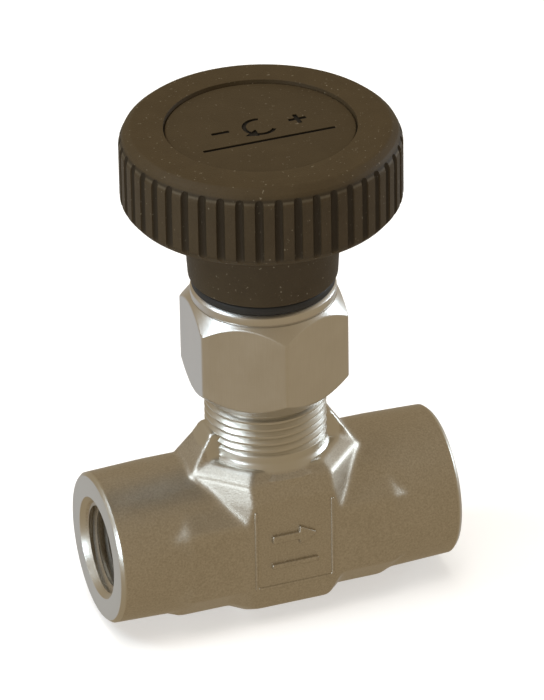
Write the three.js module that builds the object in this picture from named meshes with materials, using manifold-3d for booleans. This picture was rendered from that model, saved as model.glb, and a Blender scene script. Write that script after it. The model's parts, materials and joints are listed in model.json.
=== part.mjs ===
// Flow control valve: a forged two-port body with a union bonnet, a non-rotating needle tip,
// a threaded stem with a packed gland, and a fluted moulded knob.
// Millimetres, +Z up along the stem, X along the ports, origin under the foot on the stem axis.
import * as THREE from 'three';
import { mergeVertices } from 'three/addons/utils/BufferGeometryUtils.js';
import Module from 'manifold-3d';

const wasm = await Module();
wasm.setup();

// ---- driving dimensions ------------------------------------------------------------------
const PORT_Z = 11.0;              // height of the port axis above the foot
const HALF_LENGTH = 23.65;        // port face to stem axis
const BOSS_R = 9.95;              // port boss at its face
const BOSS_ROOT_R = 10.25;        // port boss beside the waist, after forging draft
const WAIST_END = 15.6;           // where the eight-sided waist begins
const PORT_MOUTH_R = 6.35;        // quarter-inch taper thread, at the face
const PORT_ROOT_R = 5.65;         // the same thread at its bottom
const PORT_DEPTH = 11.6;
const NECK_R = 7.94;              // 5/8-24 thread on the neck
const THREAD_PITCH = 1.058;
const NECK_TOP = PORT_Z + 24.0;
const THREAD_START = PORT_Z + 13.4;
const NUT_FLATS = 19.6;           // across flats of the bonnet nut
const NUT_TURN = 5.3;             // degrees that a nut corner stands off -Y, towards -X
const NUT_BOTTOM = PORT_Z + 19.3;
const NUT_TOP = PORT_Z + 34.95;
const NUT_COLLAR_R = 9.45;
const SEAL_R = 9.3;               // dust seal under the hub
const SEAL_TOP = PORT_Z + 36.15;
const HUB_BOTTOM = PORT_Z + 36.2;
const HUB_R = 9.65;
const HUB_ROOT_R = 10.4;
const RIM_BOTTOM = PORT_Z + 46.7;
const RIM_TOP = PORT_Z + 57.6;
const RIM_R = 18.1;               // over the flutes
const FLUTES = 46;
const FLUTE_DEPTH = 0.55;
const CAP_RECESS_R = 12.3;
const CAP_RECESS_DEPTH = 1.5;
const CAP_STEP = 0.45;            // the cap lies this far below the knob's top edge
const CHAMBER_R = 4.6;            // flow chamber under the packing
const PACKING_BORE_R = 5.4;
const SEAT_BORE_R = 2.1;
const PASSAGE_R = 2.0;
const PASSAGE_OFFSET = 3.6;       // inlet passage below the port axis, outlet passage above it
const STEM_R = 2.6;               // plain shank through the packing
const STEM_THREAD_R = 3.9;
const STEM_NECK_R = 3.5;          // above the thread, through the wiper
const STEM_TOP_R = 3.1;           // inside the knob
const SCREW_R = 1.2;
const RUNNING = 0.06;             // radial clearance of the sliding and turning fits
const REST = 0.05;                // gap between faces that rest on each other
const ROUND = 32;                 // sides of a turned piece
const KNOB_ROUND = 46;            // sides of the knob's round surfaces

// ---- finishes ----------------------------------------------------------------------------
const stainless = { color: 0x9a9384, metalness: 0.9, roughness: 0.38 };
const brightSteel = { color: 0xb9b6ae, metalness: 1.0, roughness: 0.25 };
const brass = { color: 0xb98d4a, metalness: 0.9, roughness: 0.35 };
const ptfe = { color: 0xe6e2d6, metalness: 0.0, roughness: 0.5 };
const graphite = { color: 0x2b2b2c, metalness: 0.1, roughness: 0.7 };
const rubber = { color: 0x121212, metalness: 0.0, roughness: 0.75 };
const phenolic = { color: 0x2a241b, metalness: 0.0, roughness: 0.55 };

// ---- making and cutting solids -----------------------------------------------------------
const valve = new THREE.Group();

function addNode(name, geometry, finish) {
  const mesh = new THREE.Mesh(geometry, new THREE.MeshStandardMaterial(finish));
  mesh.name = name;
  valve.add(mesh);
}

// A closed outline of [radius, height] pairs, turned about the stem axis.
function turned(outline, sides = ROUND) {
  const points = outline.map(([radius, height]) => new THREE.Vector2(radius, height));
  if (THREE.ShapeUtils.area(points) < 0) points.reverse();
  points.push(points[0].clone());
  return new THREE.LatheGeometry(points, sides).rotateX(Math.PI / 2);
}

// The same, turned about the port axis; the heights become places along +X.
function turnedAlongX(outline, sides = ROUND) {
  return turned(outline, sides).rotateY(Math.PI / 2).translate(0, 0, PORT_Z);
}

function washer(outerR, innerR, bottom, top, sides = ROUND) {
  return turned([[innerR, bottom], [outerR, bottom], [outerR, top], [innerR, top]], sides);
}

function rod(radius, bottom, top, sides = ROUND) {
  return turned([[0, bottom], [radius, bottom], [radius, top], [0, top]], sides);
}

// A skin over rings of points that have equal counts, closed flat at both ends.
function loft(rings) {
  const count = rings[0].length;
  const positions = rings.flat().flatMap((point) => [point.x, point.y, point.z]);
  const index = [];
  for (let ring = 0; ring + 1 < rings.length; ring += 1) {
    for (let side = 0; side < count; side += 1) {
      const a = ring * count + side;
      const b = ring * count + ((side + 1) % count);
      index.push(a, b, b + count, a, b + count, a + count);
    }
  }
  const last = (rings.length - 1) * count;
  for (let side = 1; side + 1 < count; side += 1) {
    index.push(0, side + 1, side);
    index.push(last, last + side, last + side + 1);
  }
  const geometry = new THREE.BufferGeometry();
  geometry.setAttribute('position', new THREE.Float32BufferAttribute(positions, 3));
  geometry.setIndex(index);
  return geometry;
}

function solid(geometry) {
  const bare = geometry.clone();
  bare.deleteAttribute('normal');
  bare.deleteAttribute('uv');
  const merged = mergeVertices(bare, 1e-5);
  const corners = merged.index.array;
  const triVerts = [];
  for (let i = 0; i < corners.length; i += 3) {
    const [a, b, c] = corners.slice(i, i + 3);
    if (a !== b && b !== c && c !== a) triVerts.push(a, b, c);
  }
  const vertProperties = merged.attributes.position.array;
  return new wasm.Manifold(new wasm.Mesh({
    numProp: 3, vertProperties, triVerts: Uint32Array.from(triVerts),
  }));
}

function geometryOf(manifold) {
  const mesh = manifold.getMesh();
  const geometry = new THREE.BufferGeometry();
  geometry.setAttribute('position', new THREE.BufferAttribute(mesh.vertProperties, 3));
  geometry.setIndex(new THREE.BufferAttribute(mesh.triVerts, 1));
  return geometry;
}

const join = (...pieces) => geometryOf(pieces.map(solid).reduce((sum, piece) => sum.add(piece)));
const common = (a, b) => geometryOf(solid(a).intersect(solid(b)));
const cut = (piece, ...tools) => geometryOf(
  tools.map(solid).reduce((rest, tool) => rest.subtract(tool), solid(piece)),
);

function hexPrism(acrossFlats, bottom, top, turnDegrees = 0) {
  const cornerR = acrossFlats / Math.sqrt(3);
  const prism = new THREE.CylinderGeometry(cornerR, cornerR, top - bottom, 6);
  return prism
    .rotateX(Math.PI / 2)
    .rotateZ(THREE.MathUtils.degToRad(turnDegrees))
    .translate(0, 0, (bottom + top) / 2);
}

// ---- valve body --------------------------------------------------------------------------
// One level of the centre block: a plan with four straight faces and four slanting corners.
function blockLevel(height, frontHalf, frontY, sideX, sideHalf) {
  const quarter = [[frontHalf, -frontY], [sideX, -sideHalf], [sideX, sideHalf], [frontHalf, frontY]];
  const plan = [...quarter, ...quarter.map(([x, y]) => [-x, -y])];
  return plan.map(([x, y]) => new THREE.Vector3(x, y, PORT_Z + height));
}

// One level of the ribs that stiffen the neck on the port side, joined through its middle.
function gussetLevel(height, reach, half) {
  const plan = [[reach, -half], [reach, half], [-reach, half], [-reach, -half]];
  return plan.map(([x, y]) => new THREE.Vector3(x, y, PORT_Z + height));
}

// One station of the waist: eight-sided, taller flats in front and behind.
function waistStation(x, scale) {
  const half = [[-10.2, -4.7], [-10.2, 4.9], [-4.2, 9.55], [4.2, 9.55], [10.2, 4.9], [10.2, -4.7],
    [4.3, -10.3], [-4.3, -10.3]];
  return half.map(([y, z]) => new THREE.Vector3(x, y * scale, PORT_Z + z * scale)).reverse();
}

function threadedNeck() {
  const crestFlat = THREAD_PITCH * 0.2;
  const threadDepth = THREAD_PITCH * 0.5;
  const outline = [[0, PORT_Z + 6], [9.0, PORT_Z + 10.4], [8.0, PORT_Z + 11.6],
    [NECK_R - threadDepth, PORT_Z + 12.7]];
  let crest = THREAD_START + THREAD_PITCH / 2;
  while (crest < NUT_BOTTOM + THREAD_PITCH) {
    outline.push([NECK_R - threadDepth, crest - THREAD_PITCH / 2]);
    outline.push([NECK_R, crest - crestFlat / 2], [NECK_R, crest + crestFlat / 2]);
    crest += THREAD_PITCH;
  }
  outline.push([NECK_R, NECK_TOP - 0.6], [NECK_R - threadDepth, NECK_TOP], [0, NECK_TOP]);
  return turned(outline);
}

function valveBody() {
  const bosses = turnedAlongX([
    [0, -HALF_LENGTH], [BOSS_R - 0.3, -HALF_LENGTH], [BOSS_R, -HALF_LENGTH + 0.3],
    [BOSS_ROOT_R, -WAIST_END], [BOSS_ROOT_R, WAIST_END],
    [BOSS_R, HALF_LENGTH - 0.3], [BOSS_R - 0.3, HALF_LENGTH], [0, HALF_LENGTH],
  ]);
  const waist = loft([
    waistStation(-WAIST_END - 0.6, 0.92), waistStation(-WAIST_END + 1.6, 1),
    waistStation(WAIST_END - 1.6, 1), waistStation(WAIST_END + 0.6, 0.92),
  ]);
  const block = loft([
    blockLevel(-PORT_Z, 5.0, 5.0, 7.4, 2.6),
    blockLevel(-8.5, 5.0, 9.1, 10.6, 3.5),
    blockLevel(-5.3, 6.2, 10.3, 12.3, 4.2),
    blockLevel(5.2, 6.2, 10.3, 12.3, 4.2),
    blockLevel(7.9, 5.5, 10.3, 12.0, 3.7),
    blockLevel(10.2, 5.5, 9.4, 11.5, 3.4),
    blockLevel(11.6, 4.6, 7.7, 8.8, 3.3),
  ]);
  const gusset = loft([gussetLevel(9.0, 12.2, 3.4), gussetLevel(15.0, 8.3, 2.2)]);
  const portBore = (side) => turnedAlongX([
    [0, side * (HALF_LENGTH + 1)], [PORT_MOUTH_R + 0.45, side * (HALF_LENGTH + 1)],
    [PORT_MOUTH_R + 0.45, side * HALF_LENGTH], [PORT_MOUTH_R, side * (HALF_LENGTH - 0.6)],
    [PORT_ROOT_R, side * (HALF_LENGTH - PORT_DEPTH)],
    [PASSAGE_R, side * (HALF_LENGTH - PORT_DEPTH - 1.2)], [0, side * (HALF_LENGTH - PORT_DEPTH - 1.2)],
  ]);
  const passage = (side, offset) => new THREE.CylinderGeometry(PASSAGE_R, PASSAGE_R, 14, 24)
    .rotateZ(Math.PI / 2)
    .translate(side * 7.0, 0, PORT_Z + offset);
  const stemBore = turned([
    [0, PORT_Z - 5.7], [SEAT_BORE_R, PORT_Z - 5.7], [SEAT_BORE_R, PORT_Z - 1.0], [3.6, PORT_Z - 1.0],
    [3.6, PORT_Z + 1.4], [CHAMBER_R, PORT_Z + 1.4], [CHAMBER_R, PORT_Z + 11.8],
    [PACKING_BORE_R, PORT_Z + 11.8], [PACKING_BORE_R, NECK_TOP - 2.2], [6.1, NECK_TOP - 2.2],
    [6.1, NECK_TOP + 1], [0, NECK_TOP + 1],
  ]);
  const outside = join(bosses, waist, block, gusset, threadedNeck());
  return cut(outside, portBore(-1), portBore(1), passage(-1, -PASSAGE_OFFSET),
    passage(1, PASSAGE_OFFSET), stemBore);
}
addNode('valve_body', valveBody(), stainless);

// ---- seat --------------------------------------------------------------------------------
addNode('seat_seal', washer(3.5, 2.2, PORT_Z - 0.95, PORT_Z - 0.4), ptfe);
addNode('seat_ring', turned([
  [SEAT_BORE_R, PORT_Z - 0.35], [3.5, PORT_Z - 0.35], [3.5, PORT_Z + 1.45], [4.3, PORT_Z + 1.45],
  [4.3, PORT_Z + 2.3], [2.75, PORT_Z + 2.3], [SEAT_BORE_R, PORT_Z + 1.4],
]), brightSteel);

// ---- needle that slides without turning ----------------------------------------------------
addNode('needle_tip', turned([
  [0, PORT_Z - 0.6], [0.9, PORT_Z - 0.3], [SEAT_BORE_R - REST, PORT_Z + 1.36], [2.7, PORT_Z + 2.26],
  [3.6, PORT_Z + 3.4], [3.6, PORT_Z + 6.5], [2.3, PORT_Z + 6.5], [2.3, PORT_Z + 4.2],
  [0, PORT_Z + 4.2],
]), brightSteel);
addNode('tip_retainer', turned([
  [1.4, PORT_Z + 5.9], [2.25, PORT_Z + 5.9], [2.25, PORT_Z + 6.55], [3.6, PORT_Z + 6.55],
  [3.6, PORT_Z + 7.3], [1.4, PORT_Z + 7.3],
], 32), brass);

// ---- packing and bonnet --------------------------------------------------------------------
const packingFloor = PORT_Z + 11.8;
const packingTurns = ['lower', 'middle', 'upper'];
const packingRingHeight = 1.2;
addNode('packing_washer', washer(
  PACKING_BORE_R - REST, STEM_R + RUNNING, packingFloor + REST, packingFloor + 0.95), brightSteel);
packingTurns.forEach((turn, i) => {
  const bottom = packingFloor + 1.0 + i * packingRingHeight;
  const top = bottom + packingRingHeight - REST;
  const peak = (bottom + top) / 2;
  addNode(`packing_ring_${turn}`, turned([
    [STEM_R + RUNNING, bottom], [PACKING_BORE_R - REST, bottom], [PACKING_BORE_R - REST, peak],
    [PACKING_BORE_R - REST, top], [STEM_R + RUNNING, top],
  ]), i === 1 ? graphite : ptfe);
});
const glandBottom = packingFloor + 1.0 + packingTurns.length * packingRingHeight;
addNode('packing_gland', turned([
  [STEM_R + RUNNING, glandBottom], [PACKING_BORE_R - REST, glandBottom],
  [PACKING_BORE_R - REST, PORT_Z + 20.4], [STEM_R + RUNNING, PORT_Z + 20.4],
]), brass);
addNode('bonnet_bush', turned([
  [STEM_THREAD_R + RUNNING, PORT_Z + 20.45], [PACKING_BORE_R - REST, PORT_Z + 20.45],
  [PACKING_BORE_R - REST, NECK_TOP - 1.5], [5.95, NECK_TOP - 1.5], [5.95, NECK_TOP + 0.55],
  [7.1, NECK_TOP + 0.55], [7.1, NECK_TOP + 3.0], [5.6, NECK_TOP + 4.2], [5.6, NUT_TOP - 1.6],
  [STEM_THREAD_R + RUNNING, NUT_TOP - 1.6],
]), brightSteel);
addNode('bonnet_gasket', washer(7.3, 6.15, NECK_TOP + REST, NECK_TOP + 0.5), graphite);

// ---- bonnet nut ----------------------------------------------------------------------------
function bonnetNut() {
  const chamferTop = PORT_Z + 33.4;
  const hex = hexPrism(NUT_FLATS, NUT_BOTTOM, chamferTop, NUT_TURN);
  const outside = turned([
    [0, NUT_BOTTOM - 1], [8.2, NUT_BOTTOM - 1], [8.2, NUT_BOTTOM], [11.4, NUT_BOTTOM + 3.2],
    [11.4, chamferTop - 2.3], [9.5, chamferTop], [0, chamferTop],
  ]);
  const collar = turned([
    [0, chamferTop - 0.4], [NUT_COLLAR_R, chamferTop - 0.4], [NUT_COLLAR_R, NUT_TOP - 0.25],
    [NUT_COLLAR_R - 0.25, NUT_TOP], [0, NUT_TOP],
  ]);
  const bore = turned([
    [0, NUT_BOTTOM - 1], [NECK_R + 0.5, NUT_BOTTOM - 1], [NECK_R + 0.12, NUT_BOTTOM + 0.4],
    [NECK_R + 0.12, NECK_TOP + 3.05], [5.75, NECK_TOP + 4.3], [5.75, NUT_TOP + 1], [0, NUT_TOP + 1],
  ]);
  return cut(join(common(hex, outside), collar), bore);
}
addNode('bonnet_nut', bonnetNut(), stainless);
addNode('dust_seal', washer(SEAL_R, 4.6, NUT_TOP + REST, SEAL_TOP), rubber);

// ---- stem ----------------------------------------------------------------------------------
const stemTop = PORT_Z + 51.6;
addNode('stem', turned([
  [0, PORT_Z + 4.3], [1.3, PORT_Z + 4.4], [2.0, PORT_Z + 4.9], [2.0, PORT_Z + 5.3],
  [1.3, PORT_Z + 5.8], [1.3, PORT_Z + 7.5], [STEM_R, PORT_Z + 7.9], [STEM_R, PORT_Z + 20.9],
  [STEM_THREAD_R, PORT_Z + 22.0], [STEM_THREAD_R, PORT_Z + 28.6], [STEM_NECK_R, PORT_Z + 29.0],
  [STEM_NECK_R, PORT_Z + 38.0], [STEM_TOP_R, PORT_Z + 38.4], [STEM_TOP_R, stemTop - 0.3],
  [STEM_TOP_R - 0.3, stemTop], [SCREW_R + REST, stemTop], [SCREW_R + REST, stemTop - 8.0],
  [0, stemTop - 8.8],
]), brightSteel);
addNode('stem_wiper', washer(5.7, STEM_NECK_R + RUNNING, NUT_TOP - 1.5, NUT_TOP - 0.4), rubber);

// ---- knob ----------------------------------------------------------------------------------
const insertR = 4.4;
const insertBottom = PORT_Z + 38.6;
const insertTop = PORT_Z + 50.5;
const screwSeat = PORT_Z + 52.0;
const screwWellR = 4.6;
const setScrewR = 1.5;
const setScrewZ = PORT_Z + 41.6;
const setScrewHoleDepth = 8.5;
const capFloor = RIM_TOP - CAP_RECESS_DEPTH;

// One level of the rim: every rib has two root corners and two crest corners.
function rimLevel(height, crestR, fluteDepth) {
  const pitch = (2 * Math.PI) / FLUTES;
  const rib = [[-0.30, fluteDepth], [-0.16, 0], [0.16, 0], [0.30, fluteDepth]];
  const ribs = Array.from({ length: FLUTES }, (_, i) => rib.map(([turn, drop]) => {
    const angle = (i + turn) * pitch;
    const radius = crestR - drop;
    return new THREE.Vector3(radius * Math.cos(angle), radius * Math.sin(angle), height);
  }));
  return ribs.flat();
}

function knobBody() {
  const rim = loft([
    rimLevel(RIM_BOTTOM, 17.1, 0.3), rimLevel(RIM_BOTTOM + 1.2, RIM_R, FLUTE_DEPTH),
    rimLevel(RIM_TOP - 2.6, RIM_R, FLUTE_DEPTH), rimLevel(RIM_TOP - 0.7, RIM_R - 0.7, 0.1),
    rimLevel(RIM_TOP, RIM_R - 1.4, 0),
  ]);
  const hub = turned([
    [0, HUB_BOTTOM], [HUB_R - 0.6, HUB_BOTTOM], [HUB_R, HUB_BOTTOM + 0.6], [9.95, HUB_BOTTOM + 5.0],
    [HUB_ROOT_R, RIM_BOTTOM], [HUB_ROOT_R, RIM_BOTTOM + 1], [0, RIM_BOTTOM + 1],
  ], KNOB_ROUND);
  const underside = washer(15.4, 11.7, RIM_BOTTOM - 1, RIM_BOTTOM + 3.5, KNOB_ROUND);
  const bore = turned([
    [0, HUB_BOTTOM - 1], [4.6, HUB_BOTTOM - 1], [4.6, insertBottom - REST],
    [insertR + REST, insertBottom - REST], [insertR + REST, insertTop + REST],
    [STEM_TOP_R + RUNNING, insertTop + REST], [STEM_TOP_R + RUNNING, screwSeat],
    [screwWellR, screwSeat], [screwWellR, capFloor + 0.5], [0, capFloor + 0.5],
  ]);
  const recess = rod(CAP_RECESS_R, capFloor, RIM_TOP + 1, KNOB_ROUND);
  return cut(join(rim, hub), underside, bore, recess, setScrewHole());
}

function setScrewHole() {
  return new THREE.CylinderGeometry(setScrewR + REST, setScrewR + REST, setScrewHoleDepth, 24)
    .translate(0, 2.5 + setScrewHoleDepth / 2, setScrewZ);
}

function setScrew() {
  const tip = STEM_TOP_R + RUNNING;
  const length = 5.6;
  const shank = new THREE.CylinderGeometry(setScrewR, setScrewR, length, 24)
    .translate(0, tip + length / 2, setScrewZ);
  const socket = new THREE.CylinderGeometry(0.8, 0.8, 2.4, 6).translate(0, tip + length, setScrewZ);
  return cut(shank, socket);
}

function knobScrew() {
  const headBottom = screwSeat + 0.9;
  const screw = turned([
    [0, stemTop - 7.6], [SCREW_R, stemTop - 7.2], [SCREW_R, headBottom], [3.1, headBottom],
    [3.1, headBottom + 1.2], [2.4, headBottom + 1.9], [0, headBottom + 2.1],
  ], 32);
  const slot = new THREE.BoxGeometry(8, 0.8, 2).translate(0, 0, headBottom + 1.9);
  return cut(screw, slot);
}

addNode('knob', knobBody(), phenolic);
addNode('knob_insert', cut(
  washer(insertR, STEM_TOP_R + RUNNING, insertBottom, insertTop), setScrewHole()), brass);
addNode('knob_set_screw', setScrew(), graphite);
addNode('spring_washer', washer(4.2, SCREW_R + 0.2, screwSeat + REST, screwSeat + 0.85, 32), brightSteel);
addNode('knob_screw', knobScrew(), brightSteel);
addNode('knob_cap', turned([
  [0, capFloor + REST], [3.2, capFloor + REST], [3.2, capFloor - 0.6], [screwWellR - 0.1, capFloor - 0.6],
  [screwWellR - 0.1, capFloor + REST], [CAP_RECESS_R - 0.08, capFloor + REST],
  [CAP_RECESS_R - 0.08, RIM_TOP - CAP_STEP], [0, RIM_TOP - CAP_STEP],
], KNOB_ROUND), phenolic);

export default valve;
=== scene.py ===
"""Flow control valve: the finished shapes, surfaces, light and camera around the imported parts."""
import json
import math

import bmesh
import bpy
from mathutils import Matrix, Vector


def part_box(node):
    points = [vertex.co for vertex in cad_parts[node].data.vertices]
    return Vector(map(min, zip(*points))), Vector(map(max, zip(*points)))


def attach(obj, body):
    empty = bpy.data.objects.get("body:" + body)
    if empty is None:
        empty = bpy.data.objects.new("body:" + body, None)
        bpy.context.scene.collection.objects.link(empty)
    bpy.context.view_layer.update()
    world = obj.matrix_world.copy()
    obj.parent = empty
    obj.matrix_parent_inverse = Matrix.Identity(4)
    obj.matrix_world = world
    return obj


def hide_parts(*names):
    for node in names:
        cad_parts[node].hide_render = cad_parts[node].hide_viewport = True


MM = 0.001
TURN = 2 * math.pi
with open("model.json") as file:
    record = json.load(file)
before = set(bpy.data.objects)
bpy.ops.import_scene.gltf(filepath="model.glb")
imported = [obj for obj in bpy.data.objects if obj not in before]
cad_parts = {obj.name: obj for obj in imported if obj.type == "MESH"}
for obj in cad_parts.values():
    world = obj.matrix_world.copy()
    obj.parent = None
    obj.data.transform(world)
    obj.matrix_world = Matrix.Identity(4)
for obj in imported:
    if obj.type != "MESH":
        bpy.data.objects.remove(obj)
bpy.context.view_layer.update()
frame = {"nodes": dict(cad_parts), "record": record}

# ---- sizes, in millimetres, heights above the foot -------------------------------------------
PORT_Z = 11.0                # port axis
PITCH = 1.058                # neck thread and stem thread
NECK_R = 7.94
HALF_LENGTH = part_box("valve_body")[1].x / MM
NECK_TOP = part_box("valve_body")[1].z / MM
NUT_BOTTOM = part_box("bonnet_nut")[0].z / MM
NUT_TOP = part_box("bonnet_nut")[1].z / MM
NUT_FLATS = 19.6
NUT_TURN = 5.3               # degrees that a corner of the nut stands off the front, to the left
HUB_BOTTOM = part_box("knob")[0].z / MM
RIM_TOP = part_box("knob")[1].z / MM
RIM_R = 18.1
RIM_BOTTOM = RIM_TOP - 10.9
FLUTES = 46
FLUTE_TURN = 6.4             # degrees from +X to the first flute
CAP_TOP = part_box("knob_cap")[1].z / MM
CAP_R = 12.22
CAP_RECESS_R = 12.3


# ---- hand tools ------------------------------------------------------------------------------
def pick(*pieces):
    """Leave only these pieces selected, the first one active."""
    bpy.ops.object.select_all(action="DESELECT")
    for piece in pieces:
        piece.select_set(True)
    bpy.context.view_layer.objects.active = pieces[0]


def start(name):
    """Name the primitive that was just added, and open it for editing."""
    piece = bpy.context.active_object
    piece.name = name
    piece.data.name = name
    pick(piece)
    bpy.ops.object.transform_apply()
    bpy.ops.object.mode_set(mode="EDIT")
    bpy.ops.mesh.select_mode(type="VERT")
    return piece


def grab(piece, kind, wanted):
    """Select the vertices, edges or faces whose middle answers wanted(point, normal)."""
    bpy.ops.mesh.select_all(action="DESELECT")
    bpy.ops.mesh.select_mode(type={"verts": "VERT", "edges": "EDGE", "faces": "FACE"}[kind])
    mesh = bmesh.from_edit_mesh(piece.data)
    for part in getattr(mesh, kind):
        if kind == "verts":
            middle, normal = part.co, part.normal
        elif kind == "edges":
            middle = (part.verts[0].co + part.verts[1].co) / 2
            normal = (part.verts[1].co - part.verts[0].co).normalized()
        else:
            middle, normal = part.calc_center_median(), part.normal
        part.select_set(bool(wanted(middle / MM, normal)))
    mesh.select_flush_mode()
    bmesh.update_edit_mesh(piece.data)


def stretch(x=1.0, y=1.0, z=1.0, about=(0, 0, 0)):
    center = tuple(place * MM for place in about)
    bpy.ops.transform.resize(value=(x, y, z), center_override=center)


def close_edit(smooth=35):
    """Merge doubles, point the faces out and leave edit mode."""
    bpy.ops.mesh.select_all(action="SELECT")
    bpy.ops.mesh.remove_doubles(threshold=0.002 * MM)
    bpy.ops.mesh.normals_make_consistent(inside=False)
    bpy.ops.object.mode_set(mode="OBJECT")
    bpy.ops.object.shade_smooth_by_angle(angle=math.radians(smooth))


def modify(piece, kind, **settings):
    """Add one modifier and apply it."""
    pick(piece)
    bpy.ops.object.modifier_add(type=kind)
    modifier = piece.modifiers[-1]
    for key, value in settings.items():
        setattr(modifier, key, value)
    bpy.ops.object.modifier_apply(modifier=modifier.name)


def combine(piece, tool, operation, smooth=35):
    """Join, cut or intersect a piece with a tool, and throw the tool away."""
    modify(piece, "BOOLEAN", operation=operation, object=tool, solver="MANIFOLD")
    bpy.data.objects.remove(tool)
    pick(piece)
    bpy.ops.object.shade_smooth_by_angle(angle=math.radians(smooth))


def eased(outline):
    """Replace each corner that carries a radius by an arc."""
    points = []
    for i, corner in enumerate(outline):
        here = Vector(corner[:2])
        if len(corner) < 3:
            points.append(here)
            continue
        before = Vector(outline[i - 1][:2]) - here
        after = Vector(outline[(i + 1) % len(outline)][:2]) - here
        half = before.angle(after) / 2
        reach = min(corner[2] / math.tan(half), 0.49 * before.length, 0.49 * after.length)
        radius = reach * math.tan(half)
        first, last = before.normalized() * reach, after.normalized() * reach
        centre = (first + last).normalized() * (reach / math.cos(half))
        spokes = first - centre, last - centre
        turn = spokes[0].angle_signed(spokes[1])
        steps = max(2, min(8, round(abs(turn) * radius / 0.12)))
        for step in range(steps + 1):
            angle = -turn * step / steps
            points.append(here + centre + Matrix.Rotation(angle, 2) @ spokes[0])
    return points


def trace(name, points):
    """An edge drawn point by point in the XZ plane, left open in edit mode."""
    bpy.ops.object.select_all(action="DESELECT")
    bpy.ops.mesh.primitive_plane_add(size=MM, location=(points[0].x * MM, 0, points[0].y * MM))
    piece = start(name)
    bpy.ops.mesh.select_all(action="SELECT")
    bpy.ops.mesh.merge(type="CENTER")
    for here, there in zip(points, points[1:]):
        step = ((there.x - here.x) * MM, 0, (there.y - here.y) * MM)
        bpy.ops.mesh.extrude_vertices_move(TRANSFORM_OT_translate={"value": step})
    return piece


def turned(name, outline, steps=96, closed=False, smooth=35):
    """A lathe piece: an outline of (radius, height[, corner radius]) spun about the stem axis."""
    points = eased(outline)
    if closed:
        points.append(points[0])
    piece = trace(name, points)
    bpy.ops.mesh.select_all(action="SELECT")
    bpy.ops.mesh.spin(steps=steps, angle=TURN, center=(0, 0, 0), axis=(0, 0, 1))
    close_edit(smooth)
    return piece


def turned_part(name, outline, degrees):
    """A closed outline swung part of the way round the stem axis, with flat ends."""
    points = eased(outline)
    piece = trace(name, points + [points[0]])
    bpy.ops.mesh.select_all(action="SELECT")
    bpy.ops.mesh.spin(steps=40, angle=math.radians(degrees), center=(0, 0, 0), axis=(0, 0, 1))
    bpy.ops.mesh.select_all(action="SELECT")
    bpy.ops.mesh.remove_doubles(threshold=0.002 * MM)
    bpy.ops.mesh.fill_holes(sides=0)
    close_edit()
    return piece


def laid_along_x(piece, towards=1):
    """Lay a piece that was turned about Z along the port axis, its top towards +X or -X."""
    pick(piece)
    piece.rotation_euler = (0, towards * math.pi / 2, 0)
    piece.location = (0, 0, PORT_Z * MM)
    bpy.ops.object.transform_apply()
    return piece


def threaded(name, root_r, crest_r, bottom, top, pitch=PITCH, steps=96):
    """A closed rod with a screw thread, trimmed flat at both ends."""
    flat = pitch * 0.12
    first = bottom - 1.5 * pitch
    profile = [(root_r, 0), (root_r, flat), (crest_r, pitch / 2 - flat / 2),
               (crest_r, pitch / 2 + flat / 2), (root_r, pitch)]
    piece = trace(name, [Vector((radius, first + height)) for radius, height in profile])
    bpy.ops.object.mode_set(mode="OBJECT")
    turns = math.ceil((top - bottom) / pitch) + 3
    modify(piece, "SCREW", axis="Z", angle=TURN, screw_offset=pitch * MM, iterations=turns,
           steps=steps, render_steps=steps, use_merge_vertices=True)
    bpy.ops.object.mode_set(mode="EDIT")
    bpy.ops.mesh.select_all(action="SELECT")
    bpy.ops.mesh.remove_doubles(threshold=0.002 * MM)
    for height, side in ((bottom, {"clear_inner": True}), (top, {"clear_outer": True})):
        bpy.ops.mesh.select_all(action="SELECT")
        bpy.ops.mesh.bisect(plane_co=(0, 0, height * MM), plane_no=(0, 0, 1), **side)
    bpy.ops.mesh.select_all(action="SELECT")
    bpy.ops.mesh.remove_doubles(threshold=0.002 * MM)
    bpy.ops.mesh.fill_holes(sides=0)
    close_edit()
    return piece


def dress(piece, body, node, finish):
    """Give a finished piece its finish, hang it on the body it moves with, and hide the node it
    replaces.
    """
    piece.data.materials.clear()
    piece.data.materials.append(finish)
    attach(piece, body)
    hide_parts(node)
    return piece


def laid(piece, turn=(0, 0, 0), place=(0, 0, 0)):
    """Turn a piece about the origin, in degrees, then carry it to its place, in millimetres."""
    pick(piece)
    piece.rotation_euler = [math.radians(angle) for angle in turn]
    piece.location = [along * MM for along in place]
    bpy.ops.object.transform_apply()
    return piece


def raised(name, outline, front, back):
    """A flat figure drawn in the XZ plane and given a thickness in Y."""
    points = eased(outline)
    piece = trace(name, points + [points[0]])
    bpy.ops.mesh.select_all(action="SELECT")
    bpy.ops.mesh.remove_doubles(threshold=0.002 * MM)
    bpy.ops.mesh.edge_face_add()
    bpy.ops.transform.translate(value=(0, front * MM, 0))
    bpy.ops.mesh.extrude_region_move(TRANSFORM_OT_translate={"value": (0, (back - front) * MM, 0)})
    close_edit()
    return piece


# ---- valve body ------------------------------------------------------------------------------
BOSS_R = 9.95
BOSS_ROOT_R = 10.25
WAIST_END = 15.6
PORT_DEPTH = 11.6
CHAMBER_R = 4.6
PACKING_BORE_R = 5.4
SEAT_BORE_R = 2.1
PASSAGE_R = 2.0
BLOCK_LEVELS = (             # height from the port axis, front half, front, side, side half
    (-11.0, 5.0, 5.0, 7.4, 2.6), (-8.5, 5.0, 9.1, 10.6, 3.5), (-5.3, 6.2, 10.3, 12.3, 4.2),
    (5.2, 6.2, 10.3, 12.3, 4.2), (7.9, 5.5, 10.3, 12.0, 3.7), (10.2, 5.5, 9.4, 11.5, 3.4),
    (11.6, 4.6, 7.7, 8.8, 3.3))


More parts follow.
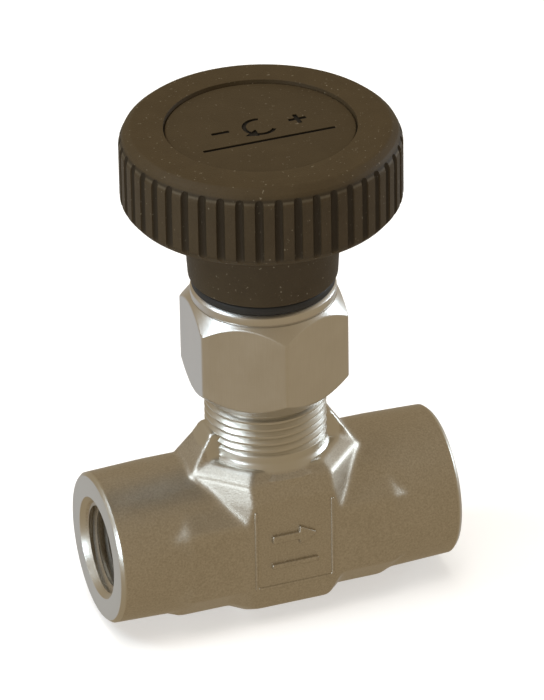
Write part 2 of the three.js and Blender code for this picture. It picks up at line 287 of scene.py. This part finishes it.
def centre_block():
    """An eight-cornered plan pulled up level by level."""
    half, reach = math.sin(math.pi / 8), math.cos(math.pi / 8)
    plan = (half, reach, reach, half)
    bottom = BLOCK_LEVELS[0][0]
    bpy.ops.object.select_all(action="DESELECT")
    bpy.ops.mesh.primitive_circle_add(vertices=8, radius=MM, fill_type="NGON",
                                      location=(0, 0, (PORT_Z + bottom) * MM),
                                      rotation=(0, 0, math.pi / 8))
    piece = start("centre_block")
    below = bottom
    for height, *wanted in BLOCK_LEVELS:
        if height > below:
            rise = {"value": (0, 0, (height - below) * MM)}
            bpy.ops.mesh.select_all(action="DESELECT")
            grab(piece, "faces", lambda place, way: abs(place.z - PORT_Z - below) < 0.01)
            bpy.ops.mesh.extrude_region_move(TRANSFORM_OT_translate=rise)
        for x, y, new_x, new_y in ((*plan[:2], *wanted[:2]), (*plan[2:], *wanted[2:])):
            grab(piece, "verts", lambda place, way: abs(place.z - PORT_Z - height) < 0.01
                 and abs(abs(place.x) - x) < 0.01 and abs(abs(place.y) - y) < 0.01)
            stretch(new_x / x, new_y / y)
        plan, below = wanted, height
    close_edit()
    return piece


def gussets():
    """The ribs that stiffen the neck on the port side, as one bar through its middle."""
    foot, top, middle = (12.2, 3.4), (8.3, 2.2), PORT_Z + 12
    bpy.ops.object.select_all(action="DESELECT")
    bpy.ops.mesh.primitive_cube_add(size=2 * MM, location=(0, 0, middle * MM))
    piece = start("gussets")
    bpy.ops.mesh.select_all(action="SELECT")
    stretch(*foot, 3.0, about=(0, 0, middle))
    grab(piece, "verts", lambda place, way: place.z > middle)
    stretch(top[0] / foot[0], top[1] / foot[1])
    close_edit()
    return piece


def waist():
    """The eight-sided middle of the body, drawn in section and pulled along the ports."""
    section = eased([(-10.2, -4.7, 0.6), (-10.2, 4.9, 0.7), (-4.2, 9.55, 2.5), (4.2, 9.55, 2.5),
                     (10.2, 4.9, 0.7), (10.2, -4.7, 0.6), (4.3, -10.3, 1.0), (-4.3, -10.3, 1.0)])
    piece = trace("waist", section + [section[0]])
    bpy.ops.mesh.select_all(action="SELECT")
    bpy.ops.mesh.remove_doubles(threshold=0.002 * MM)
    bpy.ops.mesh.edge_face_add()
    end, shoulder, narrowed = WAIST_END + 0.6, WAIST_END - 1.6, 0.92
    bpy.ops.transform.translate(value=(0, -end * MM, 0))
    stretch(narrowed, 1, narrowed)
    taper = end - shoulder
    for step, scale in ((taper, 1 / narrowed), (2 * shoulder, 1), (taper, narrowed)):
        bpy.ops.mesh.extrude_region_move(TRANSFORM_OT_translate={"value": (0, step * MM, 0)})
        stretch(scale, 1, scale)
    close_edit()
    return laid(piece, turn=(0, 0, -90), place=(0, 0, PORT_Z))


def forging():
    """Bosses, waist and block grown into one skin with the soft inside corners of a forging."""
    length = HALF_LENGTH + 1.0
    body = turned("valve_body_forged", [(0, -length), (BOSS_R, -length), (BOSS_ROOT_R, -WAIST_END),
                                        (BOSS_ROOT_R, WAIST_END), (BOSS_R, length), (0, length)])
    laid_along_x(body)
    combine(body, waist(), "UNION")
    combine(body, centre_block(), "UNION")
    combine(body, gussets(), "UNION")
    modify(body, "REMESH", mode="VOXEL", voxel_size=0.33 * MM)
    modify(body, "SMOOTH", factor=0.5, iterations=9)
    return body


def flow_arrow(height):
    """The outline of a plain arrow that shows the way of the flow."""
    shaft, head = 0.55, 1.45
    outline = [(-3.1, -shaft, 0.2), (0.6, -shaft, 0.15), (0.6, -head, 0.2), (3.2, 0, 0.25),
               (0.6, head, 0.2), (0.6, shaft, 0.15), (-3.1, shaft, 0.2)]
    return [(x, height + z, r) for x, z, r in outline]


def panel_border():
    """The outline of the fine line along the left, lower and right edges of the front panel."""
    side, bottom, top, width = 5.5, PORT_Z - 5.0, PORT_Z + 7.0, 0.45
    return [(-side, bottom, 0.4), (side, bottom, 0.4), (side, top), (side - width, top),
            (side - width, bottom + width, 0.2), (width - side, bottom + width, 0.2),
            (width - side, top), (-side, top)]


MARK_BACK = -9.8             # how deep the marks are rooted in the body


def forged_mark(body, name, outline, front):
    """Raise a flat figure with soft front edges on the front of the body."""
    mark = raised(name, outline, front, MARK_BACK)
    modify(mark, "BEVEL", width=0.2 * MM, segments=3, limit_method="ANGLE",
           angle_limit=math.radians(60))
    combine(body, mark, "UNION")


def machined_neck():
    """The neck with its cove, up to where the thread begins."""
    return turned("neck", [(0, PORT_Z + 6), (9.55, PORT_Z + 8.5), (9.55, PORT_Z + 10.5, 0.15),
                           (8.75, PORT_Z + 11.0, 0.4), (7.95, PORT_Z + 12.1, 0.9),
                           (7.9, PORT_Z + 13.1, 0.1), (7.3, PORT_Z + 13.5), (0, PORT_Z + 13.5)],
                  steps=128)


def valve_body():
    body = forging()
    combine(body, machined_neck(), "UNION")
    forged_mark(body, "flow_arrow", flow_arrow(PORT_Z + 2.4), -10.72)
    bar = [(-3.2, -2.0, 0.2), (3.2, -2.0, 0.2), (3.2, -1.3, 0.2), (-3.2, -1.3, 0.2)]
    forged_mark(body, "bar", [(x, PORT_Z + z, r) for x, z, r in bar], -10.7)
    forged_mark(body, "panel_border", panel_border(), -10.48)
    combine(body, threaded("neck_thread", NECK_R - 0.52, NECK_R, PORT_Z + 13.3, NECK_TOP), "UNION")
    bore = [(0, -5.7), (SEAT_BORE_R, -5.7), (SEAT_BORE_R, -1.0), (3.6, -1.0), (3.6, 1.4),
            (CHAMBER_R, 1.4), (CHAMBER_R, 11.8), (PACKING_BORE_R, 11.8),
            (PACKING_BORE_R, NECK_TOP - PORT_Z - 2.2), (6.1, NECK_TOP - PORT_Z - 2.2),
            (6.1, NECK_TOP - PORT_Z + 1), (0, NECK_TOP - PORT_Z + 1)]
    combine(body, turned("stem_bore", [(radius, PORT_Z + z) for radius, z in bore]), "DIFFERENCE")
    for side in (-1, 1):
        facing = turned("facing", [(0, HALF_LENGTH), (BOSS_R - 0.35, HALF_LENGTH, 0.1),
                                   (BOSS_R + 0.05, HALF_LENGTH - 0.45), (15, HALF_LENGTH - 0.45),
                                   (15, HALF_LENGTH + 3), (0, HALF_LENGTH + 3)], steps=160)
        combine(body, laid_along_x(facing, side), "DIFFERENCE")
        mouth = turned("mouth", [(0, HALF_LENGTH - 0.9), (5.9, HALF_LENGTH - 0.9),
                                 (6.85, HALF_LENGTH + 0.05), (6.85, HALF_LENGTH + 2),
                                 (0, HALF_LENGTH + 2)], steps=128)
        combine(body, laid_along_x(mouth, side), "DIFFERENCE")
        port = threaded("port_thread", 5.45, 6.3, HALF_LENGTH - PORT_DEPTH, HALF_LENGTH + 1, 1.411)
        combine(body, laid_along_x(port, side), "DIFFERENCE")
        passage = turned("passage", [(0, 0), (PASSAGE_R, 0), (PASSAGE_R, 14), (0, 14)], steps=48)
        laid(passage, turn=(0, side * 90, 0), place=(0, 0, PORT_Z + side * 3.6))
        combine(body, passage, "DIFFERENCE")
    return body


# ---- bonnet nut ------------------------------------------------------------------------------
def bonnet_nut():
    cone_top = NUT_TOP - 1.55
    height = cone_top - NUT_BOTTOM
    bpy.ops.object.select_all(action="DESELECT")
    bpy.ops.mesh.primitive_cylinder_add(vertices=6, radius=NUT_FLATS / math.sqrt(3) * MM,
                                        depth=(height + 4) * MM,
                                        location=(0, 0, (NUT_BOTTOM + height / 2) * MM),
                                        rotation=(0, 0, math.radians(-NUT_TURN)))
    nut = start("bonnet_nut_hex")
    grab(nut, "edges", lambda place, way: abs(way.z) > 0.9)
    bpy.ops.mesh.bevel(offset=0.3 * MM, segments=4, affect="EDGES")
    close_edit()
    envelope = turned("envelope", [(0, NUT_BOTTOM), (8.2, NUT_BOTTOM), (11.4, NUT_BOTTOM + 3.2),
                                   (11.4, cone_top - 2.3), (9.4, cone_top), (0, cone_top)],
                      steps=144)
    combine(nut, envelope, "INTERSECT", smooth=25)
    modify(nut, "BEVEL", width=0.12 * MM, segments=2, limit_method="ANGLE",
           angle_limit=math.radians(20))
    collar = turned("collar", [(0, cone_top - 0.8), (9.3, cone_top - 0.8),
                               (9.3, cone_top + 0.1, 0.08),
                               (9.45, cone_top + 0.2, 0.1), (9.45, NUT_TOP - 0.4, 0.2),
                               (8.95, NUT_TOP, 0.3), (0, NUT_TOP)], steps=128)
    combine(nut, collar, "UNION", smooth=25)
    bore = turned("nut_bore", [(0, NUT_BOTTOM - 1), (NECK_R + 0.9, NUT_BOTTOM - 1),
                               (NECK_R + 0.12, NUT_BOTTOM + 0.5), (NECK_R + 0.12, NECK_TOP + 3.05),
                               (5.75, NECK_TOP + 4.3), (5.75, NUT_TOP - 0.3), (6.15, NUT_TOP + 0.1),
                               (6.15, NUT_TOP + 1), (0, NUT_TOP + 1)], steps=128)
    combine(nut, bore, "DIFFERENCE", smooth=25)
    return nut


# ---- knob ------------------------------------------------------------------------------------
CAP_FLOOR = RIM_TOP - 1.5
SCREW_SEAT = PORT_Z + 52.0
INSERT = (PORT_Z + 38.6, PORT_Z + 50.5)
SET_SCREW_Z = PORT_Z + 41.6


def flute_cutters():
    """One round-ended cutter beside the rim, then its copies all the way round."""
    radius = 0.57
    bottom, top = RIM_BOTTOM + 0.5, RIM_TOP - 1.2
    first = turned("flute", [(0, bottom), (radius, bottom, 0.5), (radius, top, 0.52), (0, top)],
                   steps=20, smooth=60)
    laid(first, place=(RIM_R + 0.03, 0, 0))
    laid(first, turn=(0, 0, FLUTE_TURN))
    cutters = [first]
    for number in range(1, FLUTES):
        copy = first.copy()
        copy.data = first.data.copy()
        bpy.context.collection.objects.link(copy)
        cutters.append(laid(copy, turn=(0, 0, 360 * number / FLUTES)))
    pick(*cutters)
    bpy.ops.object.join()
    return first


def knob():
    bore = [(3.16, SCREW_SEAT), (3.16, INSERT[1] + 0.05), (4.45, INSERT[1] + 0.05),
            (4.45, INSERT[0] - 0.05), (4.6, INSERT[0] - 0.05)]
    piece = turned("knob_moulding", [
        (4.6, HUB_BOTTOM), (9.65, HUB_BOTTOM, 0.6), (9.95, HUB_BOTTOM + 5.0, 6.0),
        (10.4, RIM_BOTTOM + 0.4, 0.35), (11.7, RIM_BOTTOM + 0.4, 0.2),
        (11.9, RIM_BOTTOM + 3.5, 0.5),
        (15.2, RIM_BOTTOM + 3.5, 0.5), (15.4, RIM_BOTTOM, 0.25), (17.1, RIM_BOTTOM, 0.5),
        (RIM_R, RIM_BOTTOM + 1.2, 1.2), (RIM_R, RIM_TOP - 2.0, 2.0), (17.5, RIM_TOP - 0.75, 0.8),
        (16.6, RIM_TOP, 0.8), (CAP_RECESS_R + 0.04, RIM_TOP, 0.12), (CAP_RECESS_R, CAP_FLOOR, 0.1),
        (4.6, CAP_FLOOR), (4.6, SCREW_SEAT), *bore], steps=276, closed=True)
    combine(piece, flute_cutters(), "DIFFERENCE", smooth=40)
    hole = turned("set_screw_hole", [(0, 2.5), (1.55, 2.5), (1.55, 11), (0, 11)], steps=40)
    laid(hole, turn=(-90, 0, 0), place=(0, 0, SET_SCREW_Z))
    combine(piece, hole, "DIFFERENCE", smooth=40)
    return piece


def sunk(name, outline, depth):
    """A cutter for a flat figure, drawn in plan, that sinks this deep into the cap."""
    figure = raised(name, outline, -CAP_TOP - 1, depth - CAP_TOP)
    return laid(figure, turn=(-90, 0, 0))


def turning_signs(depth):
    """Plain signs for the cap: a bar, minus, plus, and a curved arrow between them."""
    across = [(-1.2, -0.3, 0.1), (1.2, -0.3, 0.1), (1.2, 0.3, 0.1), (-1.2, 0.3, 0.1)]
    bar = [(-8.9, -0.27, 0.1), (8.9, -0.27, 0.1), (8.9, 0.27, 0.1), (-8.9, 0.27, 0.1)]
    head = [(-1.15, 0.0, 0.1), (1.15, 0.0, 0.1), (0.0, 1.5, 0.1)]
    arc = turned_part("arc", [(1.7, CAP_TOP - depth), (2.25, CAP_TOP - depth), (2.25, CAP_TOP + 1),
                              (1.7, CAP_TOP + 1)], 250)
    signs = [laid(arc, turn=(0, 0, -35), place=(0, 0.4, 0)),
             laid(sunk("bar", bar, depth), place=(0, -3.3, 0)),
             laid(sunk("minus", across, depth), place=(-5.2, 0.6, 0)),
             laid(sunk("plus_across", across, depth), place=(5.2, 0.6, 0)),
             laid(sunk("plus_up", across, depth), turn=(0, 0, 90)),
             laid(sunk("head", head, depth), turn=(0, 0, 215))]
    laid(signs[4], place=(5.2, 0.6, 0))
    laid(signs[5], place=(-1.63, -0.73, 0))
    return signs


def knob_cap():
    piece = turned("knob_cap_disc", [
        (0, CAP_FLOOR + 0.05), (3.2, CAP_FLOOR + 0.05), (3.2, CAP_FLOOR - 0.6),
        (4.5, CAP_FLOOR - 0.6, 0.1), (4.5, CAP_FLOOR + 0.05), (CAP_R, CAP_FLOOR + 0.05, 0.1),
        (CAP_R, CAP_TOP, 0.3), (0, CAP_TOP)],
        steps=144)
    for sign in turning_signs(0.25):
        combine(piece, sign, "DIFFERENCE", smooth=30)
    return piece


# ---- small round parts -----------------------------------------------------------------------
def dust_seal():
    low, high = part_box("dust_seal")
    bottom, top = low.z / MM, high.z / MM
    return turned("dust_seal_ring", [(4.6, bottom), (9.3, bottom, 0.3), (9.3, top, 0.35),
                                     (4.6, top, 0.2)], steps=128, closed=True)


def stem():
    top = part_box("stem")[1].z / MM
    piece = turned("stem_turned", [
        (0, PORT_Z + 4.3), (1.3, PORT_Z + 4.4), (2.0, PORT_Z + 4.9), (2.0, PORT_Z + 5.3),
        (1.3, PORT_Z + 5.8), (1.3, PORT_Z + 7.5), (2.6, PORT_Z + 7.9), (2.6, PORT_Z + 20.9),
        (3.3, PORT_Z + 21.6), (3.3, PORT_Z + 28.6), (3.5, PORT_Z + 29.0), (3.5, PORT_Z + 38.0),
        (3.1, PORT_Z + 38.4), (3.1, top, 0.3), (1.25, top), (1.25, top - 8.0), (0, top - 8.8)],
        steps=72)
    rod = threaded("stem_thread", 3.25, 3.9, PORT_Z + 22.0, PORT_Z + 28.6, steps=72)
    combine(piece, rod, "UNION")
    return piece


def set_screw():
    tip = 3.16
    piece = threaded("hub_set_screw", 1.22, 1.5, 0, 5.6, pitch=0.5, steps=40)
    bpy.ops.object.select_all(action="DESELECT")
    bpy.ops.mesh.primitive_cylinder_add(vertices=6, radius=0.86 * MM, depth=4 * MM,
                                        location=(0, 0, 5.6 * MM))
    socket = start("socket")
    close_edit()
    combine(piece, socket, "DIFFERENCE")
    return laid(piece, turn=(-90, 0, 0), place=(0, tip, SET_SCREW_Z))


# ---- finishes --------------------------------------------------------------------------------
class Number:
    """A value that changes over a surface. Arithmetic on it adds the Math nodes it needs."""

    def __init__(self, finish, socket):
        self.finish, self.socket = finish, socket

    def math(self, operation, *values, clamp=False):
        settings = {"operation": operation, "use_clamp": clamp}
        node = self.finish.node("Math", settings, dict(enumerate(values)))
        return Number(self.finish, node.outputs[0])

    def __add__(self, other):
        return self.math("ADD", self, other)

    def __sub__(self, other):
        return self.math("SUBTRACT", self, other)

    def __rsub__(self, other):
        return self.math("SUBTRACT", other, self)

    def __mul__(self, other):
        return self.math("MULTIPLY", self, other)

    def __truediv__(self, other):
        return self.math("DIVIDE", self, other)

    def __pow__(self, other):
        return self.math("POWER", self, other)

    __radd__, __rmul__ = __add__, __mul__

    def above(self, level, soft):
        """0 below the level and 1 above it, over a soft step."""
        return ((self - level) / soft).math("ADD", (self - level) / soft, 0.5, clamp=True)


class Finish:
    """One material: its shader, and the places and grains that vary it."""

    def __init__(self, name, **steady):
        self.material = bpy.data.materials.new(name)
        self.material.use_nodes = True
        self.shader = self.material.node_tree.nodes["Principled BSDF"]
        for key, value in steady.items():
            self.shader.inputs[key.replace("_", " ")].default_value = value
        place = self.node("TexCoord").outputs["Object"]
        parts = self.node("SeparateXYZ", inputs={"Vector": place})
        self.place = place
        self.x, self.y, self.z = (Number(self, parts.outputs[axis]) / MM for axis in "XYZ")

    def node(self, kind, settings=None, inputs=None):
        node = self.material.node_tree.nodes.new("ShaderNode" + kind)
        for key, value in (settings or {}).items():
            setattr(node, key, value)
        for key, value in (inputs or {}).items():
            value = getattr(value, "socket", value)
            if isinstance(value, bpy.types.NodeSocket):
                self.material.node_tree.links.new(value, node.inputs[key])
            else:
                node.inputs[key].default_value = value
        return node

    def grain(self, size, detail=3, stretch=(1, 1, 1), place=None):
        """Noise whose lumps are about this many millimetres across."""
        mapped = self.node("Mapping", inputs={"Vector": place or self.place, "Scale": stretch})
        noise = self.node("TexNoise", inputs={"Vector": mapped.outputs[0], "Scale": 1 / (size * MM),
                                              "Detail": detail, "Roughness": 0.55})
        return Number(self, noise.outputs["Fac"])

    def rings(self, size, radius):
        """Turning marks: noise that changes only with the radius."""
        place = self.node("CombineXYZ", inputs={"X": radius * MM})
        return self.grain(size, detail=2, place=place.outputs[0])

    def blend(self, amount, colour, other):
        node = self.node("Mix", {"data_type": "RGBA"}, {"Factor": amount})
        for key, value in ((6, colour), (7, other)):
            if isinstance(value, bpy.types.NodeSocket):
                self.material.node_tree.links.new(value, node.inputs[key])
            else:
                node.inputs[key].default_value = (*value, 1)
        return node.outputs[2]

    def wear(self, colour=None, roughness=None, height=None, depth=0.02):
        """Join what varies to the shader. The depth, in millimetres, is the height at 1."""
        join = self.material.node_tree.links.new
        links = {"Base Color": colour, "Roughness": roughness}
        for key, value in links.items():
            if value is not None:
                join(getattr(value, "socket", value), self.shader.inputs[key])
        if height is not None:
            bump = self.node("Bump", inputs={"Height": height, "Distance": depth * MM,
                                             "Strength": 1.0})
            join(bump.outputs[0], self.shader.inputs["Normal"])
        return self.material


def body_steel():
    """Blasted stainless forging, with turned faces at the ports and on the neck."""
    finish = Finish("body_steel_satin", Metallic=1.0)
    cloud, fine = finish.grain(5.0), finish.grain(0.24, detail=5)
    across = (finish.y ** 2 + (finish.z - PORT_Z) ** 2) ** 0.5
    around = (finish.x ** 2 + finish.y ** 2) ** 0.5
    face = (finish.x ** 2).above((HALF_LENGTH - 0.6) ** 2, 8)
    neck = finish.z.above(PORT_Z + 11.2, 0.4) * (1 - around.above(9.6, 0.2))
    turned_face = finish.rings(0.13, across)
    turned_neck = finish.rings(0.1, finish.z)
    machined = face + neck - face * neck
    tone = cloud * 0.3 + fine.above(0.5, 0.35) * 0.7
    colour = finish.blend(tone, (0.46, 0.42, 0.355), (0.66, 0.62, 0.55))
    colour = finish.blend(machined, colour, (0.66, 0.64, 0.59))
    roughness = (0.33 + cloud * 0.12 + fine * 0.08) * (1 - machined) + machined * 0.33
    height = fine * (1 - machined) + (turned_face * face + turned_neck * neck) * 0.7
    return finish.wear(colour, roughness, height, depth=0.026)


def nut_steel():
    """Drawn hexagon bar with fine marks along its flats."""
    finish = Finish("nut_steel_bright", Metallic=1.0)
    cloud, fine = finish.grain(4.0), finish.grain(0.2, detail=3)
    drawn = finish.grain(0.12, detail=2, stretch=(1, 1, 0.04))
    colour = finish.blend(cloud * 0.6 + drawn * 0.4, (0.60, 0.58, 0.54), (0.76, 0.74, 0.71))
    roughness = 0.24 + cloud * 0.08 + drawn * 0.1
    return finish.wear(colour, roughness, drawn * 0.7 + fine * 0.3, depth=0.008)


def turned_metal(name, dark, light, roughness):
    """Any lathe-turned part: faint rings up its length."""
    finish = Finish(name, Metallic=1.0)
    cloud = finish.grain(2.5)
    marks = finish.rings(0.09, finish.z)
    colour = finish.blend(cloud * 0.5 + marks * 0.5, dark, light)
    return finish.wear(colour, roughness + cloud * 0.1, marks, depth=0.006)


def knob_plastic():
    """Filled moulding compound: fine grain, pale flecks, rubbed spots with a painted highlight at
    the rib tops, and painted shade in the flutes.
    """
    finish = Finish("knob_compound", Specular_IOR_Level=0.16)
    cloud, fine = finish.grain(3.0), finish.grain(0.22, detail=4)
    flecks = finish.grain(0.45, detail=1).above(0.735, 0.03)
    around = (finish.x ** 2 + finish.y ** 2) ** 0.5
    # Rubbed wear and a painted highlight: the rib tops at the shoulder are lightened all the way
    # round.
    shoulder = around.above(RIM_R - 0.2, 0.1) * finish.z.above(RIM_TOP - 1.7, 0.5)
    # Painted shade: the flute floors are darkened.
    flute_shade = (1 - around.above(RIM_R - 0.16, 0.2)) * around.above(15.9, 0.1) \
        * (1 - finish.z.above(RIM_TOP - 1.2, 0.3)) * finish.z.above(RIM_BOTTOM + 1.0, 0.6)
    colour = finish.blend(cloud * 0.5 + fine * 0.5, (0.034, 0.023, 0.011), (0.060, 0.042, 0.021))
    colour = finish.blend(flecks * 0.5, colour, (0.20, 0.17, 0.12))
    # Lighter rib tops: rubbed wear with a painted highlight.
    colour = finish.blend(shoulder * cloud, colour, (0.20, 0.17, 0.12))
    # Painted shade in the flutes.
    colour = finish.blend(flute_shade * 0.6, colour, (0.018, 0.014, 0.009))
    return finish.wear(colour, 0.5 + fine * 0.14 - shoulder * 0.06, fine + cloud * 0.6, depth=0.035)


def cap_plastic():
    """The cap's compound, with a slightly smoother skin and painted shade in the sunk signs."""
    finish = Finish("cap_compound", Specular_IOR_Level=0.16)
    cloud, fine = finish.grain(3.5), finish.grain(0.18, detail=4)
    flecks = finish.grain(0.4, detail=1).above(0.74, 0.03)
    # Painted shade: everything sunk below the top face, mostly the floors and walls of the signs,
    # is darkened.
    sunk_shade = 1 - finish.z.above(CAP_TOP - 0.12, 0.08)
    colour = finish.blend(cloud * 0.5 + fine * 0.5, (0.032, 0.022, 0.011), (0.055, 0.039, 0.020))
    colour = finish.blend(flecks * 0.4, colour, (0.18, 0.15, 0.11))
    # Painted shade in the sunk signs.
    colour = finish.blend(sunk_shade, colour, (0.012, 0.010, 0.008))
    return finish.wear(colour, 0.5 + fine * 0.12, fine + cloud * 0.5, depth=0.03)


def dull(name, dark, light, roughness, grain):
    """Rubber, graphite or white packing plastic."""
    finish = Finish(name)
    cloud, fine = finish.grain(2.0), finish.grain(grain, detail=4)
    colour = finish.blend(cloud * 0.4 + fine * 0.6, dark, light)
    return finish.wear(colour, roughness + fine * 0.15, fine, depth=0.01)


# ---- dress everything ------------------------------------------------------------------------
body_finish = body_steel()
nut_finish = nut_steel()
bright = turned_metal("bright_steel_turned", (0.60, 0.58, 0.54), (0.74, 0.72, 0.68), 0.2)
brass = turned_metal("brass_turned", (0.58, 0.38, 0.14), (0.74, 0.52, 0.23), 0.24)
knob_finish, cap_finish = knob_plastic(), cap_plastic()
white_plastic = dull("white_packing_plastic", (0.70, 0.68, 0.62), (0.82, 0.80, 0.75), 0.42, 0.3)
graphite = dull("graphite_foil", (0.030, 0.030, 0.032), (0.07, 0.07, 0.075), 0.45, 0.25)
rubber = dull("black_rubber", (0.010, 0.010, 0.010), (0.022, 0.021, 0.020), 0.55, 0.2)
black_oxide = turned_metal("black_oxide_screw", (0.03, 0.03, 0.032), (0.07, 0.068, 0.066), 0.38)

dress(valve_body(), "body", "valve_body", body_finish)
dress(bonnet_nut(), "body", "bonnet_nut", nut_finish)
dress(dust_seal(), "body", "dust_seal", rubber)
dress(knob(), "handwheel", "knob", knob_finish)
dress(knob_cap(), "handwheel", "knob_cap", cap_finish)
dress(stem(), "handwheel", "stem", bright)
dress(set_screw(), "handwheel", "knob_set_screw", black_oxide)

SLOT_FINISHES = {"body_steel": body_finish, "nut_steel": nut_finish, "bright_steel": bright,
                 "brass": brass, "seal_plastic": white_plastic, "graphite": graphite,
                 "seal_rubber": rubber, "knob_plastic": knob_finish, "cap_plastic": cap_finish,
                 "black_screw": black_oxide}
for part in frame["record"]["subparts"]:
    node = frame["nodes"][part["node"]]
    for slot in node.material_slots:
        slot.material = SLOT_FINISHES[part["material_slot"]]


# ---- floor, light and camera -----------------------------------------------------------------
def floor():
    bpy.ops.object.select_all(action="DESELECT")
    bpy.ops.mesh.primitive_plane_add(size=6)
    sheet = start("floor_sheet")
    close_edit()
    paper = Finish("floor_paper", Roughness=1.0, Specular_IOR_Level=0.0, Emission_Strength=0.5,
                   Emission_Color=(1.0, 1.0, 1.0, 1.0))
    tone = paper.grain(400, detail=1)
    colour = paper.blend(tone, (0.60, 0.60, 0.60), (0.62, 0.62, 0.62))
    sheet.data.materials.append(paper.wear(colour))
    sheet.visible_glossy = False


def softbox(name, direction, distance, size, power, colour):
    """A square light at this direction from the valve, facing it."""
    bpy.ops.object.select_all(action="DESELECT")
    place = Vector(direction).normalized() * distance + Vector((0, 0, 0.035))
    bpy.ops.object.light_add(type="AREA", location=place)
    lamp = bpy.context.active_object
    lamp.name = name
    lamp.rotation_euler = (-Vector(direction)).to_track_quat("-Z", "Y").to_euler()
    lamp.data.shape = "SQUARE"
    lamp.data.size = size
    lamp.data.energy = power
    lamp.data.color = colour
    return lamp


ROOM_COLOUR = (0.39, 0.31, 0.20, 1)
SHEET_COLOUR = (0.56, 0.56, 0.56, 1)
SHEET_EDGES = (              # axis, and where along it the sheet begins and is full
    ("Y", 0.05, 0.7), ("Z", -0.08, -0.4), ("Z", -0.78, -0.58))
WINDOW_COLOUR = (0.72, 0.86, 1.0)


def surroundings():
    """A dim warm room, with a paler sheet low down behind the valve."""
    world = bpy.data.worlds.new("room")
    bpy.context.scene.world = world
    world.use_nodes = True
    tree = world.node_tree
    place = tree.nodes.new("ShaderNodeTexCoord")
    parts = tree.nodes.new("ShaderNodeSeparateXYZ")
    tree.links.new(place.outputs["Generated"], parts.inputs[0])
    sheet = None
    for axis, begin, full in SHEET_EDGES:
        edge = tree.nodes.new("ShaderNodeMapRange")
        edge.inputs["From Min"].default_value = begin
        edge.inputs["From Max"].default_value = full
        tree.links.new(parts.outputs[axis], edge.inputs["Value"])
        if sheet is None:
            sheet = edge
            continue
        both = tree.nodes.new("ShaderNodeMath")
        both.operation = "MULTIPLY"
        tree.links.new(sheet.outputs[0], both.inputs[0])
        tree.links.new(edge.outputs[0], both.inputs[1])
        sheet = both
    mix = tree.nodes.new("ShaderNodeMix")
    mix.data_type = "RGBA"
    mix.inputs[6].default_value = ROOM_COLOUR
    mix.inputs[7].default_value = SHEET_COLOUR
    tree.links.new(sheet.outputs[0], mix.inputs["Factor"])
    tree.links.new(mix.outputs[2], tree.nodes["Background"].inputs["Color"])


def camera():
    """A long lens from the front left, a little above."""
    swing, rise, roll = (math.radians(angle) for angle in (19.93, 30.43, -1.01))
    level = math.cos(rise)
    towards = Vector((-math.sin(swing) * level, -math.cos(swing) * level, math.sin(rise)))
    right = Vector((math.cos(swing), -math.sin(swing), 0))
    up = towards.cross(right)
    tilt, straight = math.sin(roll), math.cos(roll)
    right, up = straight * right + tilt * up, straight * up - tilt * right
    middle = Vector((0, 0, 31 * MM))
    place = middle + 0.850 * towards
    aim = middle + 0.92 * MM * right + 3.99 * MM * up
    back = (place - aim).normalized()
    right = up.cross(back).normalized()
    bpy.ops.object.camera_add(location=place)
    eye = bpy.context.active_object
    eye.name = "camera"
    turn = Matrix((right, back.cross(right), back)).transposed()
    eye.rotation_euler = turn.to_euler()
    eye.data.lens = 337.6
    eye.data.sensor_width = 36
    eye.data.clip_start = 0.01
    bpy.context.scene.camera = eye


floor()
surroundings()
softbox("window_left", (-0.92, -0.36, 0.16), 0.9, 0.3, 2.3, WINDOW_COLOUR)
softbox("window_high", (-0.66, 0.12, 0.74), 0.9, 0.32, 2.8, WINDOW_COLOUR)
softbox("window_right", (1.0, 0.12, 0.16), 0.9, 0.32, 2.8, (0.74, 0.87, 1.0))
overhead = softbox("overhead", (-0.15, -0.1, 1.0), 1.1, 0.8, 10.0, (1.0, 0.98, 0.95))
overhead.visible_glossy = False
camera()
bpy.context.scene.view_settings.view_transform = "Standard"
